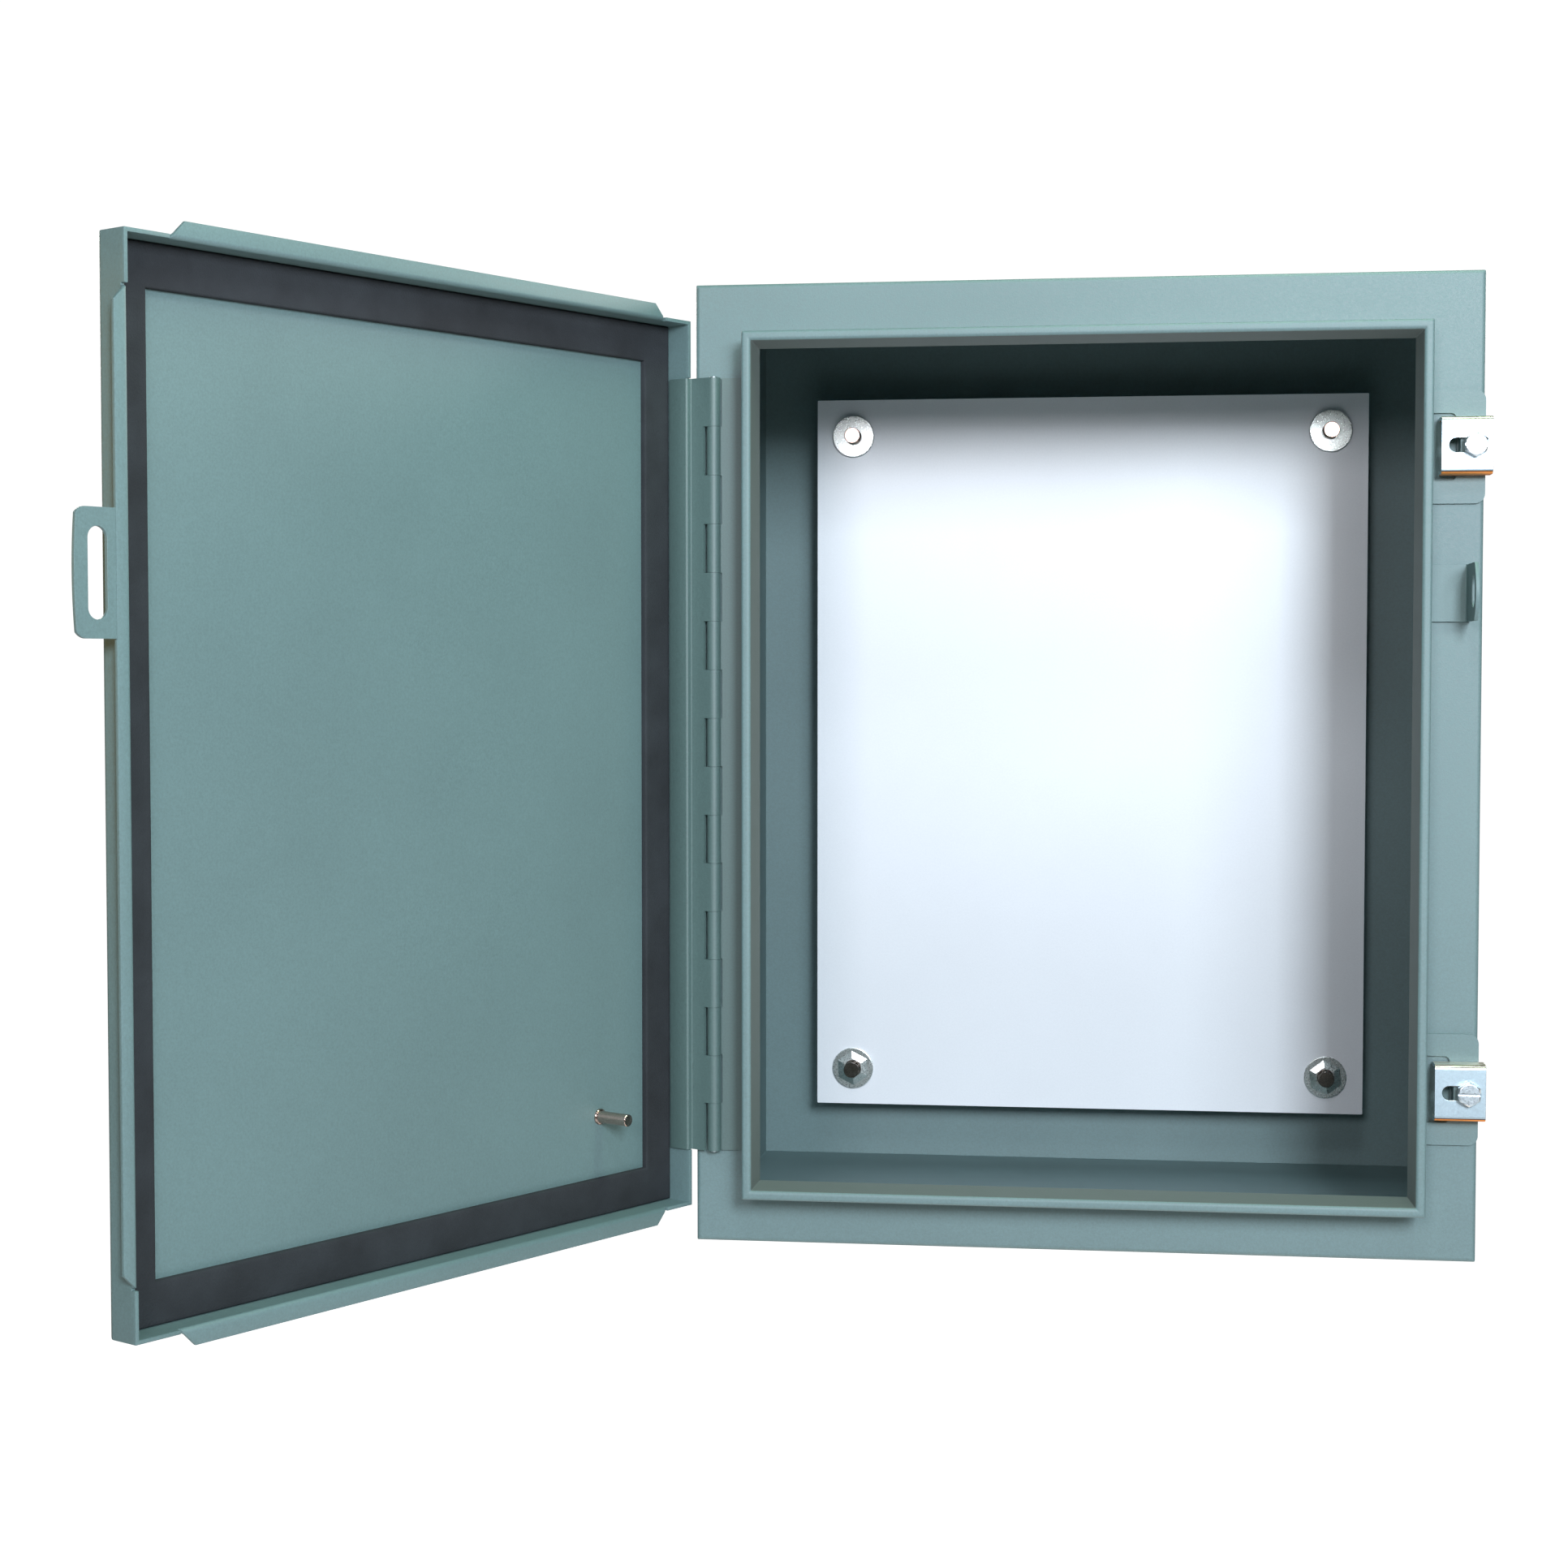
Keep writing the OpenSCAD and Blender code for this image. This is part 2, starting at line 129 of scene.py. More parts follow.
def math_node(graph, links, operation, a, b):
    node = graph.new("ShaderNodeMath")
    node.operation = operation
    links.new(a, node.inputs[0])
    links.new(b, node.inputs[1])
    return node.outputs["Value"]


def mix_colours(graph, links, factor, a, b):
    mix = graph.new("ShaderNodeMix")
    mix.data_type = "RGBA"
    links.new(factor, mix.inputs[MIX_FACTOR])
    mix.inputs[MIX_A].default_value = (*a, 1)
    mix.inputs[MIX_B].default_value = (*b, 1)
    return mix.outputs[MIX_RESULT]


def bump(graph, links, shader, height, distance):
    node = graph.new("ShaderNodeBump")
    node.inputs["Strength"].default_value = 1.0
    node.inputs["Distance"].default_value = distance
    links.new(height, node.inputs["Height"])
    links.new(node.outputs["Normal"], shader.inputs["Normal"])


# ---------- materials ----------
def painted(name, colour, rough, peel_mm, relief_mm, mottle=0.05, speck=0.06):
    """Powder coat: cloudy tone, fine specks and an orange-peel relief."""
    material, graph, links, shader = new_material(name)
    vector = object_coords(graph)
    cloud = noise(graph, links, vector, 9.0, 4.0)
    grain = noise(graph, links, vector, 900.0, 2.0, 0.7)
    tone = math_node(graph, links, "MULTIPLY",
                     spread(graph, links, cloud, 1 - mottle, 1 + mottle),
                     spread(graph, links, grain, 1 - speck, 1 + speck))
    hue = graph.new("ShaderNodeHueSaturation")
    hue.inputs["Color"].default_value = (*colour, 1)
    links.new(tone, hue.inputs["Value"])
    links.new(hue.outputs["Color"], shader.inputs["Base Color"])
    links.new(spread(graph, links, grain, rough - 0.05, rough + 0.06),
              shader.inputs["Roughness"])
    peel = noise(graph, links, vector, 1 / (peel_mm * MM), 2.5, 0.6)
    bump(graph, links, shader, peel, relief_mm * MM)
    shader.inputs["IOR"].default_value = PAINT_IOR
    return material


def metal(name, light, dark, rough, grain_scale, relief_mm):
    """Bare metal: fine grain, cloudy tone, roughness that varies with the grain."""
    material, graph, links, shader = new_material(name)
    vector = object_coords(graph)
    grain = noise(graph, links, vector, grain_scale, 3.0, 0.65)
    cloud = noise(graph, links, vector, 40.0, 3.0)
    tone = math_node(graph, links, "MULTIPLY", spread(graph, links, grain, 0.75, 1.1),
                     spread(graph, links, cloud, 0.8, 1.1))
    colour = mix_colours(graph, links, spread(graph, links, tone, 0, 1, (0.6, 1.1)),
                         dark, light)
    links.new(colour, shader.inputs["Base Color"])
    links.new(spread(graph, links, grain, rough * 0.8, rough * 1.25),
              shader.inputs["Roughness"])
    bump(graph, links, shader, grain, relief_mm * MM)
    shader.inputs["Metallic"].default_value = 1.0
    return material


def steel_with_painted_reflections(name, face, rough):
    """Clamp steel: an even fine-grained face, with painted reflections on the bends: dark and cream painted
    reflection lines on the upper bend, and a warm painted reflection on the lower bend. The bands follow the way
    the surface faces, up or down."""
    material, graph, links, shader = new_material(name)
    vector = object_coords(graph)
    grain = noise(graph, links, vector, 1500.0, 3.0, 0.65)
    hue = graph.new("ShaderNodeHueSaturation")
    links.new(painted_bend_reflections(graph, links, face), hue.inputs["Color"])
    links.new(spread(graph, links, grain, 0.92, 1.06), hue.inputs["Value"])
    links.new(hue.outputs["Color"], shader.inputs["Base Color"])
    links.new(spread(graph, links, grain, rough * 0.92, rough * 1.1),
              shader.inputs["Roughness"])
    bump(graph, links, shader, grain, 0.0004 * MM)
    shader.inputs["Metallic"].default_value = 1.0
    return material


def painted_bend_reflections(graph, links, face):
    """Painted reflections coloured by the surface's lean: 0 faces down, 0.5 is upright, 1 faces up."""
    coords = graph.new("ShaderNodeTexCoord")
    parts = graph.new("ShaderNodeSeparateXYZ")
    links.new(coords.outputs["Normal"], parts.inputs["Vector"])
    lean = spread(graph, links, parts.outputs["Z"], 0, 1, (-1, 1))
    ramp = graph.new("ShaderNodeValToRGB")
    stops = ramp.color_ramp.elements
    stops[0].position, stops[0].color = 0.0, (*BEND_WARM_REFLECTION, 1)
    stops[1].position, stops[1].color = 1.0, (*BEND_PALE_REFLECTION, 1)
    # ramp stops are painted reflections: a warm one on the lower bend, dark and pale lines on the upper bend
    for position, colour in ((0.20, BEND_WARM_REFLECTION), (0.22, BEND_DARK_REFLECTION), (0.29, BEND_DARK_REFLECTION),
                             (0.33, face), (0.68, face), (0.70, BEND_PALE_REFLECTION),
                             (0.72, BEND_DARK_REFLECTION), (0.77, BEND_DARK_REFLECTION), (0.79, BEND_PALE_REFLECTION),
                             (0.86, BEND_PALE_REFLECTION), (0.88, BEND_DARK_REFLECTION), (0.93, BEND_DARK_REFLECTION),
                             (0.95, BEND_PALE_REFLECTION)):
        stops.new(position).color = (*colour, 1)
    links.new(lean, ramp.inputs["Fac"])
    return ramp.outputs["Color"]


def foam(name):
    """Closed-cell foam: dark, dull, small open cells along its cut skin."""
    material, graph, links, shader = new_material(name)
    vector = object_coords(graph)
    cells = graph.new("ShaderNodeTexVoronoi")
    cells.inputs["Scale"].default_value = 1100.0
    links.new(vector, cells.inputs["Vector"])
    cloud = noise(graph, links, vector, 30.0, 4.0)
    tone = spread(graph, links, cloud, 0, 1)
    links.new(mix_colours(graph, links, tone, (0.022, 0.024, 0.027), (0.034, 0.038, 0.043)),
              shader.inputs["Base Color"])
    shader.inputs["Roughness"].default_value = 0.85
    shader.inputs["Specular IOR Level"].default_value = 0.25
    pits = math_node(graph, links, "ADD", cells.outputs["Distance"],
                     noise(graph, links, vector, 500.0, 3.0))
    bump(graph, links, shader, pits, 0.12 * MM)
    return material


PAINT_IOR = 1.8
BEND_WARM_REFLECTION = (0.95, 0.36, 0.10)      # painted warm reflection on the lower bend of the clamps
BEND_DARK_REFLECTION = (0.09, 0.05, 0.04)      # painted dark reflection lines beside the bends
BEND_PALE_REFLECTION = (0.88, 0.82, 0.72)     # painted pale reflection bands of the upper bend
paint = painted("teal_powder_coat_look", (0.113, 0.186, 0.189), rough=0.58, peel_mm=0.8,
                relief_mm=0.05, speck=0.11)
# darker copy of the teal paint for the hinge: painted shade
hinge_painted_shade = painted("hinge_powder_coat_look", (0.074, 0.130, 0.122), rough=0.55,
                      peel_mm=0.8, relief_mm=0.05, speck=0.11)
# darker grey-olive copy of the paint for the collar's inner return: painted shade
throat_painted_shade = painted("throat_powder_coat_look", (0.084, 0.108, 0.096), rough=0.62,
                       peel_mm=0.8, relief_mm=0.05, speck=0.11)
white = painted("panel_white_look", (0.80, 0.81, 0.84), rough=0.36, peel_mm=1.2,
                relief_mm=0.02, mottle=0.02, speck=0.02)
zinc = metal("zinc_look", (0.76, 0.79, 0.77), (0.63, 0.66, 0.64), rough=0.29,
             grain_scale=1100.0, relief_mm=0.0006)
stainless = metal("stainless_look", (0.76, 0.82, 0.86), (0.66, 0.72, 0.76), rough=0.32,
                  grain_scale=1500.0, relief_mm=0.0006)
# clamp steel with painted reflections on its bends
clamp_steel_painted_reflections = steel_with_painted_reflections("clamp_steel_look", (0.46, 0.55, 0.60), rough=0.42)
copper = metal("copper_look", (0.66, 0.50, 0.43), (0.42, 0.30, 0.26), rough=0.15,
               grain_scale=1200.0, relief_mm=0.001)
gasket_foam = foam("gasket_foam_look")

SLOT_LOOKS = {"teal_powder_coat": paint, "panel_white": white, "zinc_hardware": zinc,
              "stainless": stainless, "copper_stud": copper, "gasket_foam": gasket_foam}


# ---------- mesh helpers ----------
def at_front(points):
    """Millimetre points drawn from the front face, as metres in the row frame."""
    return [Vector((x, y + FRONT_Y, z)) * MM for x, y, z in points]


def door_swing():
    """Turns the closed door into its rest pose about the hinge pin."""
    hinge = next(j for j in frame["joints"] if j["name"] == "door_swing")
    pin = Vector(hinge["pos_m"])
    turn = Matrix.Rotation(-math.radians(hinge["range_deg"][0]), 4, Vector(hinge["axis"]))
    return Matrix.Translation(pin) @ turn @ Matrix.Translation(-pin)


DOOR_REST = door_swing()


def closed_mesh(name, points, faces, place=None, weld=False):
    """Mesh from points in metres, its faces all turned the same way out."""
    mesh = bpy.data.meshes.new(name)
    bm = bmesh.new()
    verts = [bm.verts.new(p) for p in points]
    for face in faces:
        bm.faces.new([verts[i] for i in face])
    if weld:
        bmesh.ops.remove_doubles(bm, verts=bm.verts, dist=WELD_M)
    bmesh.ops.recalc_face_normals(bm, faces=bm.faces)
    if place is not None:
        bm.transform(place)
    bm.to_mesh(mesh)
    bm.free()
    return mesh


def linked(name, mesh):
    piece = bpy.data.objects.new(name, mesh)
    scene.collection.objects.link(piece)
    return piece


def build(name, points, faces, slot, body, replaced, place=None, smooth_angle=SMOOTH_ANGLE):
    """Closed piece from points in metres, riding on a body in place of CAD nodes."""
    mesh = closed_mesh(name, points, faces, place)
    piece = linked(name, mesh)
    mesh.materials.append(SLOT_LOOKS[slot])
    shade(mesh, smooth_angle)
    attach(piece, body)
    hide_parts(*replaced)
    return piece


def soften(bm, width_mm, angle):
    """Rounds every edge sharper than the angle, as a tumbled or folded edge is."""
    limit = math.radians(angle)
    sharp = [e for e in bm.edges if e.is_manifold and e.calc_face_angle(0) > limit]
    bmesh.ops.bevel(bm, geom=sharp, offset=width_mm * MM, segments=2, profile=0.5,
                    affect="EDGES", clamp_overlap=True)


def shade(mesh, angle=SMOOTH_ANGLE):
    """Smooth shading, with edges sharper than the angle kept crisp."""
    mesh.polygons.foreach_set("use_smooth", [True] * len(mesh.polygons))
    mesh.set_sharp_from_angle(angle=math.radians(angle))


def keep_flats(piece):
    """Weights normals by face area, so flats stay flat beside their rounded edges."""
    weighted = piece.modifiers.new("flat_faces", "WEIGHTED_NORMAL")
    weighted.keep_sharp = True
    weighted.weight = 80


def lofted(rings, cyclic=False):
    """Faces between rings of equal length; ends are capped unless the rings close."""
    n = len(rings[0])
    points = [p for ring in rings for p in ring]
    faces = []
    pairs = [(i, i + 1) for i in range(len(rings) - 1)]
    if cyclic:
        pairs.append((len(rings) - 1, 0))
    for a, b in pairs:
        for i in range(n):
            j = (i + 1) % n
            faces.append((a * n + i, a * n + j, b * n + j, b * n + i))
    if not cyclic:
        faces.append(tuple(range(n)))
        faces.append(tuple(reversed(range((len(rings) - 1) * n, len(rings) * n))))
    return points, faces


def arc(cx, cy, r, start, end, steps):
    """Points of a circle's arc, angles in degrees."""
    return [(cx + r * math.cos(math.radians(start + (end - start) * i / steps)),
             cy + r * math.sin(math.radians(start + (end - start) * i / steps)))
            for i in range(steps + 1)]


def circle(cx, cy, r):
    """24 points once round."""
    return arc(cx, cy, r, 0, 345, 23)


def frame_ring(half_w, half_h, corner, y):
    """Rounded rectangle in x, z at depth y."""
    ring = []
    for sx, sz, start in ((1, 1, 0), (-1, 1, 90), (-1, -1, 180), (1, -1, 270)):
        ring += [(x, y, z) for x, z in arc(sx * (half_w - corner), sz * (half_h - corner),
                                           corner, start, start + 90, 5)]
    return ring


# ---------- cabinet ----------
def cabinet_profile():
    """(inset from the box side, y, corner radius) once round the sheet's section."""
    wall = BOX_HALF_W - COLLAR_HALF_W          # inset of the collar's outer face
    foot_r, hold = 0.5, 0.15                   # hold: extra rings that keep flats flat
    path = [(0.0, BOX_D - 0.5, CORNER_R), (0.0, BEND_R + hold, CORNER_R)]
    path += [(BEND_R - x, BEND_R - y, CORNER_R) for x, y in arc(0, 0, BEND_R, 0, 90, 6)]
    path += [(BEND_R + hold, 0.0, CORNER_R), (wall - foot_r - hold, 0.0, CORNER_R)]
    path += [(x, y, CORNER_R) for x, y in arc(wall - foot_r, -foot_r, foot_r, 90, 0, 3)]
    fold_y = -(COLLAR_P - FOLD_R)
    path += [(wall, -foot_r - hold, FOLD_CORNER), (wall, fold_y + hold, FOLD_CORNER)]
    path += [(x, y, FOLD_CORNER) for x, y in arc(wall + FOLD_R, fold_y, FOLD_R, 180, 270, 5)]
    return path + throat_profile(wall, hold) + box_inside_profile(wall)


def throat_profile(wall, hold):
    """The collar's roll into the opening, its inner return, and the return's hidden side."""
    roll_x, roll_y = wall + COLLAR_T - ROLL_R, -(COLLAR_P - ROLL_R)
    path = [(x, y, ROLL_CORNER) for x, y in arc(roll_x, roll_y, ROLL_R, 270, 360, 8)]
    end, edge_y = wall + COLLAR_T + THROAT_LEAN, -(COLLAR_P - THROAT_D)
    path += [(wall + COLLAR_T + 0.03, roll_y + hold, ROLL_CORNER)]
    path += [(end - 0.1, edge_y - 0.9, END_CORNER), (end, edge_y - 0.4, END_CORNER)]
    path += [(end - 0.4, edge_y, END_CORNER), (end - SHEET + 0.4, edge_y, FOLD_CORNER)]
    path += [(end - SHEET, edge_y - 0.4, FOLD_CORNER)]
    path += [(x, y, HIDDEN_CORNER)
             for x, y in arc(roll_x, roll_y, ROLL_R - SHEET, 360, 270, 4)]
    return path


def box_inside_profile(wall):
    """Hidden side of the collar, then the box's inner face to its rear edge."""
    path = [(wall + SHEET, -(COLLAR_P - SHEET), HIDDEN_CORNER)]
    path += [(wall + SHEET, SHEET, HIDDEN_CORNER), (BEND_R, SHEET, FOLD_CORNER)]
    path += [(SHEET + 0.3, SHEET + 0.3, FOLD_CORNER), (SHEET, BEND_R, FOLD_CORNER)]
    path += [(SHEET, BOX_D / 2, FOLD_CORNER), (SHEET, BOX_D, FOLD_CORNER)]
    return path + [(0.5, BOX_D, CORNER_R)]


def make_cabinet():
    side_inset = BOX_HALF_W - COLLAR_HALF_W
    top_inset = BOX_HALF_H - COLLAR_HALF_H
    rings = []
    for inset, y, corner in cabinet_profile():
        share = min(1.0, max(0.0, inset / side_inset))
        inset_h = inset + (top_inset - side_inset) * share
        rings.append(at_front(frame_ring(BOX_HALF_W - inset, BOX_HALF_H - inset_h, corner, y)))
    points, faces = lofted(rings, cyclic=True)
    shell = build("cabinet_shell_sheet", points, faces, "teal_powder_coat", "cabinet",
                  ["cabinet_shell"])
    for side in (1, -1):
        carve(shell, punch(circle(SCREW_X, side * CLAMP_Z, SCREW_HOLE_R), -3.0, 4.0))
    shade(shell.data)
    paint_throat_shade(shell.data)


def paint_throat_shade(mesh):
    """Gives the collar's inner return, behind its roll, a darker grey-olive copy of the paint: painted shade in
    the recess.
    """
    mesh.materials.append(throat_painted_shade)
    for face in mesh.polygons:
        x, y, z = face.center / MM
        depth = min(COLLAR_HALF_W - abs(x), COLLAR_HALF_H - abs(z))
        forward = FRONT_Y - y
        if depth > COLLAR_T - 0.5 and COLLAR_P - THROAT_D - 0.6 < forward < COLLAR_P - 0.9:
            face.material_index = 1


def punch(outline, y0, y1):
    """A helper solid with an (x, z) outline that is only used to cut, from y0 to y1."""
    return loose(*lofted([at_front([(x, y, z) for x, z in outline]) for y in (y0, y1)]))


def loose(points, faces):
    """A helper solid that is only used to cut or to add."""
    return linked("cutter", closed_mesh("cutter", points, faces))


def baked(piece):
    """The piece's mesh with its modifiers applied; the modifiers are taken off."""
    bpy.context.view_layer.update()
    graph = bpy.context.evaluated_depsgraph_get()
    mesh = bpy.data.meshes.new_from_object(piece.evaluated_get(graph))
    piece.modifiers.clear()
    return mesh


def carve(piece, other, operation="DIFFERENCE"):
    """Cuts the other solid out of the piece's mesh, or adds it, and removes the other."""
    cut = piece.modifiers.new("cut", "BOOLEAN")
    cut.operation = operation
    cut.solver = "EXACT"
    cut.object = other
    piece.data = baked(piece)
    bpy.data.objects.remove(other)


def prism(outline, z0, z1):
    """Solid with an (x, y) outline, upright from z0 to z1: (points, faces)."""
    return lofted([at_front([(x, y, z) for x, y in outline]) for z in (z0, z1)])


def stacked(solids):
    """Several separate solids as one list of points and faces."""
    points, faces = [], []
    for more_points, more_faces in solids:
        base = len(points)
        points += more_points
        faces += [tuple(base + i for i in face) for face in more_faces]
    return points, faces


# ---------- door ----------
def door_stations():
    """Rim of the door pan's middle surface, clockwise from the top left: each station is
    (x, z, outward x, outward z, kind of the rim up to the next station)."""
    half, relief = SHEET / 2, 0.9
    x0, x1, h = DOOR_X0 + half, DOOR_X1 - half, DOOR_HALF_H - half
    lip = [DOOR_X0 + LIP_START_HINGE, DOOR_X1 - LIP_START_LATCH]
    latch = DOOR_HALF_H - LATCH_LIP_START
    notch = HINGE_LEN / 2 + 0.3
    spots = []

    def lipped_side(along, across, normal, ends):
        (a, b) = ends
        sign = 1 if b > a else -1
        for value, kind in ((a - sign * relief, "gap"), (a, "lip"), (b, "gap"),
                            (b + sign * relief, "rim")):
            x, z = (value, across) if along == "x" else (across, value)
            spots.append((x, z, *normal, kind))

    lipped_side("x", h, (0, 1), lip)
    spots.append((x1, h, 1, 1, "rim"))
    lipped_side("z", x1, (1, 0), [latch, -latch])
    spots.append((x1, -h, 1, -1, "rim"))
    lipped_side("x", -h, (0, -1), lip[::-1])
    spots.append((x0, -h, -1, -1, "rim"))
    spots.append((x0, -notch, -1, 0, "notch"))
    spots.append((x0, notch, -1, 0, "rim"))
    spots.append((x0, h, -1, 1, "rim"))
    return spots


def pan_rows(spots):
    """The pan's face and flanges: rings of rim stations from the face to the rim."""
    half, bend, hold = SHEET / 2, 2.0, 0.3     # hold: extra rings that keep flats flat
    face_y = DOOR_FACE_Y + half
    rows = [(bend + hold, face_y)]
    rows += [(bend - x, face_y + bend - y) for x, y in arc(0, 0, bend, 90, 0, 5)]
    rows += [(0, face_y + bend + hold), (0, PAN_FOLD_Y - hold), (0, PAN_FOLD_Y)]
    rings = [[(x - nx * inset, y, z - nz * inset) for x, z, nx, nz, _ in spots]
             for inset, y in rows]
    points, faces = lofted(rings)
    faces.pop()                                # the rim stays open
    return points, faces


def make_door_pan():
    """Pan folded from one sheet: face, four flanges, and lips folded outwards."""
    spots = door_stations()
    points, faces = pan_rows(spots)
    rim_start = len(points) - len(spots)
    for i, spot in enumerate(spots):
        j = (i + 1) % len(spots)
        add_rim(points, faces, [(rim_start + i, spot), (rim_start + j, spots[j])])
    mesh = closed_mesh("door_pan_sheet", at_front(points), faces, weld=True)
    finish_sheet("door_pan_sheet", mesh, "door", ["door_pan"])


def add_rim(points, faces, ends):
    """Goes on from the fold line as its kind asks: full rim, notched rim or outward lip."""
    normal_x, kind = ends[0][1][2], ends[0][1][4]
    if kind == "rim":
        add_strip(points, faces, ends, [(0.0, DOOR_RIM_Y - NOTCH), (0.0, DOOR_RIM_Y)], 0.0)
    if kind == "notch":
        add_strip(points, faces, ends, [(0.0, DOOR_RIM_Y - NOTCH)], 0.0)
    if kind == "lip":
        width = LATCH_LIP_W if abs(normal_x) > 0.5 else LIP_W
        fold = arc(PAN_FOLD_R, PAN_FOLD_Y, PAN_FOLD_R, 180, 90, 5)[1:]
        edge = (width + SHEET / 2, DOOR_RIM_Y - SHEET / 2)
        add_strip(points, faces, ends, fold + [edge], 1.0)


def add_strip(points, faces, ends, path, trim):
    """Sheet that goes on from two rim points along a path of (outward, y)."""
    (ia, a), (ib, b) = ends
    run = Vector((b[0] - a[0], b[1] - a[1])).normalized()
    below = (ia, ib)
    for out, y in path:
        shift = run * out * trim
        first = len(points)
        points.append((a[0] + a[2] * out + shift.x, y, a[1] + a[3] * out + shift.y))
        points.append((b[0] + b[2] * out - shift.x, y, b[1] + b[3] * out - shift.y))
        faces.append((below[0], below[1], first + 1, first))
        below = (first, first + 1)


def finish_sheet(name, mesh, body, replaced):
    """Gives a middle surface its thickness and softly broken edges."""
    piece = linked(name, mesh)
    thick = piece.modifiers.new("thickness", "SOLIDIFY")
    thick.thickness = SHEET * MM
    thick.offset = 0
    thick.use_even_offset = True
    solid = baked(piece)
    bm = bmesh.new()
    bm.from_mesh(solid)
    soften(bm, 0.4, 60.0)
    bm.transform(DOOR_REST)
    bm.to_mesh(solid)
    bm.free()
    piece.data = solid
    solid.materials.append(paint)
    shade(solid)
    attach(piece, body)
    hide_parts(*replaced)


# ---------- hinge and gasket ----------
def knuckle_spans(first):
    """(z0, z1) of every second knuckle, a hair shorter than its pitch."""
    pitch, gap = HINGE_LEN / KNUCKLES, 0.12
    tops = [HINGE_LEN / 2 - i * pitch for i in range(first, KNUCKLES, 2)]
    return [(top - pitch + gap / 2, top - gap / 2) for top in tops]


def round_knuckle(tail):
    """Barrel section with its tail: downwards along the door leaf, or sideways."""
    reach = BARREL_R + 0.7
    inner = BARREL_R - LEAF_T
    meet = math.degrees(math.acos(inner / BARREL_R))
    around = arc(0, 0, BARREL_R, 0, 360 - meet, 40)
    outline = [(BARREL_R, -reach)] + around + [(inner, -reach)]
    if tail == "cabinet":
        outline = [(-v, u) for u, v in outline][::-1]
    return [(HINGE_X + u, HINGE_Y + v) for u, v in outline]


def rolled_hinge(name, leaf_outline, tail, first, body, place=None):
    """Leaf strip with every second knuckle rolled round the pin."""
    half = HINGE_LEN / 2
    points, faces = prism(leaf_outline, -half, half)
    leaf = build(name + "_rolled", points, faces, "teal_powder_coat", body, [name])
    # the hinge takes the darker copy of the paint: painted shade
    leaf.data.materials[0] = hinge_painted_shade
    section = round_knuckle(tail)
    carve(leaf, loose(*stacked([prism(section, *span) for span in knuckle_spans(first)])),
          "UNION")
    carve(leaf, loose(*prism(circle(HINGE_X, HINGE_Y, PIN_R), -half - 2, half + 2)))
    bm = bmesh.new()
    bm.from_mesh(leaf.data)
    bmesh.ops.remove_doubles(bm, verts=bm.verts, dist=WELD_M)
    bmesh.ops.dissolve_limit(bm, angle_limit=math.radians(0.5), verts=bm.verts, edges=bm.edges)
    if place is not None:
        bm.transform(place)
    bm.to_mesh(leaf.data)
    bm.free()
    shade(leaf.data)


def make_hinge():
    """Cabinet leaf flat on the front face; door leaf stepped over the notched rim."""
    near, far = HINGE_X + BARREL_R + 0.4, -COLLAR_HALF_W - 0.3
    back, face = 0.0, HINGE_Y + BARREL_R - LEAF_T
    plate = [(near, back), (near, face), (far - 0.4, face), (far, face + 0.4), (far, back)]
    rolled_hinge("hinge_leaf_cabinet", plate, "cabinet", 1, "cabinet")
    outer, inside = DOOR_X0 - LEAF_T, DOOR_X0 + SHEET
    step, top = DOOR_RIM_Y - LEAF_T, HINGE_Y - BARREL_R - 0.4
    leaf = [(inside, step - LEAF_IN), (inside, step), (outer, step), (outer, top),
            (DOOR_X0, top)]
    joggle, shoulder, edge = 0.5, 1.3, 0.4     # bend radii along the stepped leaf
    leaf += arc(DOOR_X0 + joggle, DOOR_RIM_Y + joggle, joggle, 180, 270, 3)
    leaf += arc(inside + LEAF_T - shoulder, DOOR_RIM_Y - shoulder, shoulder, 90, 0, 6)
    leaf += arc(inside + LEAF_T - edge, step - LEAF_IN + edge, edge, 0, -90, 2)
    rolled_hinge("hinge_leaf_door", leaf, "door", 0, "door", DOOR_REST)


def make_gasket():
    """Foam band stuck inside the pan, its top edges rounded, slightly uneven."""
    x0, x1 = DOOR_X0 + GASKET_GAP, DOOR_X1 - GASKET_GAP
    cx, half_w = (x0 + x1) / 2, (x1 - x0) / 2
    half_h = DOOR_HALF_H - GASKET_GAP
    back = DOOR_FACE_Y + SHEET
    near, wide = 0.25, 0.9                     # two steps of each rounded top edge
    section = [(0.0, 0.0), (0.0, GASKET_T - wide), (near, GASKET_T - near), (wide, GASKET_T)]
    section += [(GASKET_W * k / 8, GASKET_T) for k in range(1, 8)]
    section += [(GASKET_W - x, y) for x, y in section[3::-1]]
    rings = []
    for inset, height in section:
        ring = []
        for x, z in band_outline(half_w - inset, half_h - inset, 24, 30):
            wave = math.sin(x * 0.071 + z * 0.043) + math.sin(z * 0.113 - x * 0.029)
            lift = -0.05 * (1 + wave / 2) if height > 1 else 0.0
            ring.append((cx + x, back + height + lift, z))
        rings.append(at_front(ring))
    points, faces = lofted(rings, cyclic=True)
    gasket = build("door_gasket_foam", points, faces, "gasket_foam", "door",
                   ["door_gasket"], place=DOOR_REST, smooth_angle=50.0)


def band_outline(half_w, half_h, across, up):
    """Rectangle with evenly spaced points, clockwise from the top left."""
    outline = [(-half_w + 2 * half_w * i / across, half_h) for i in range(across)]
    outline += [(half_w, half_h - 2 * half_h * i / up) for i in range(up)]
    outline += [(half_w - 2 * half_w * i / across, -half_h) for i in range(across)]
    outline += [(-half_w, -half_h + 2 * half_h * i / up) for i in range(up)]
    return outline


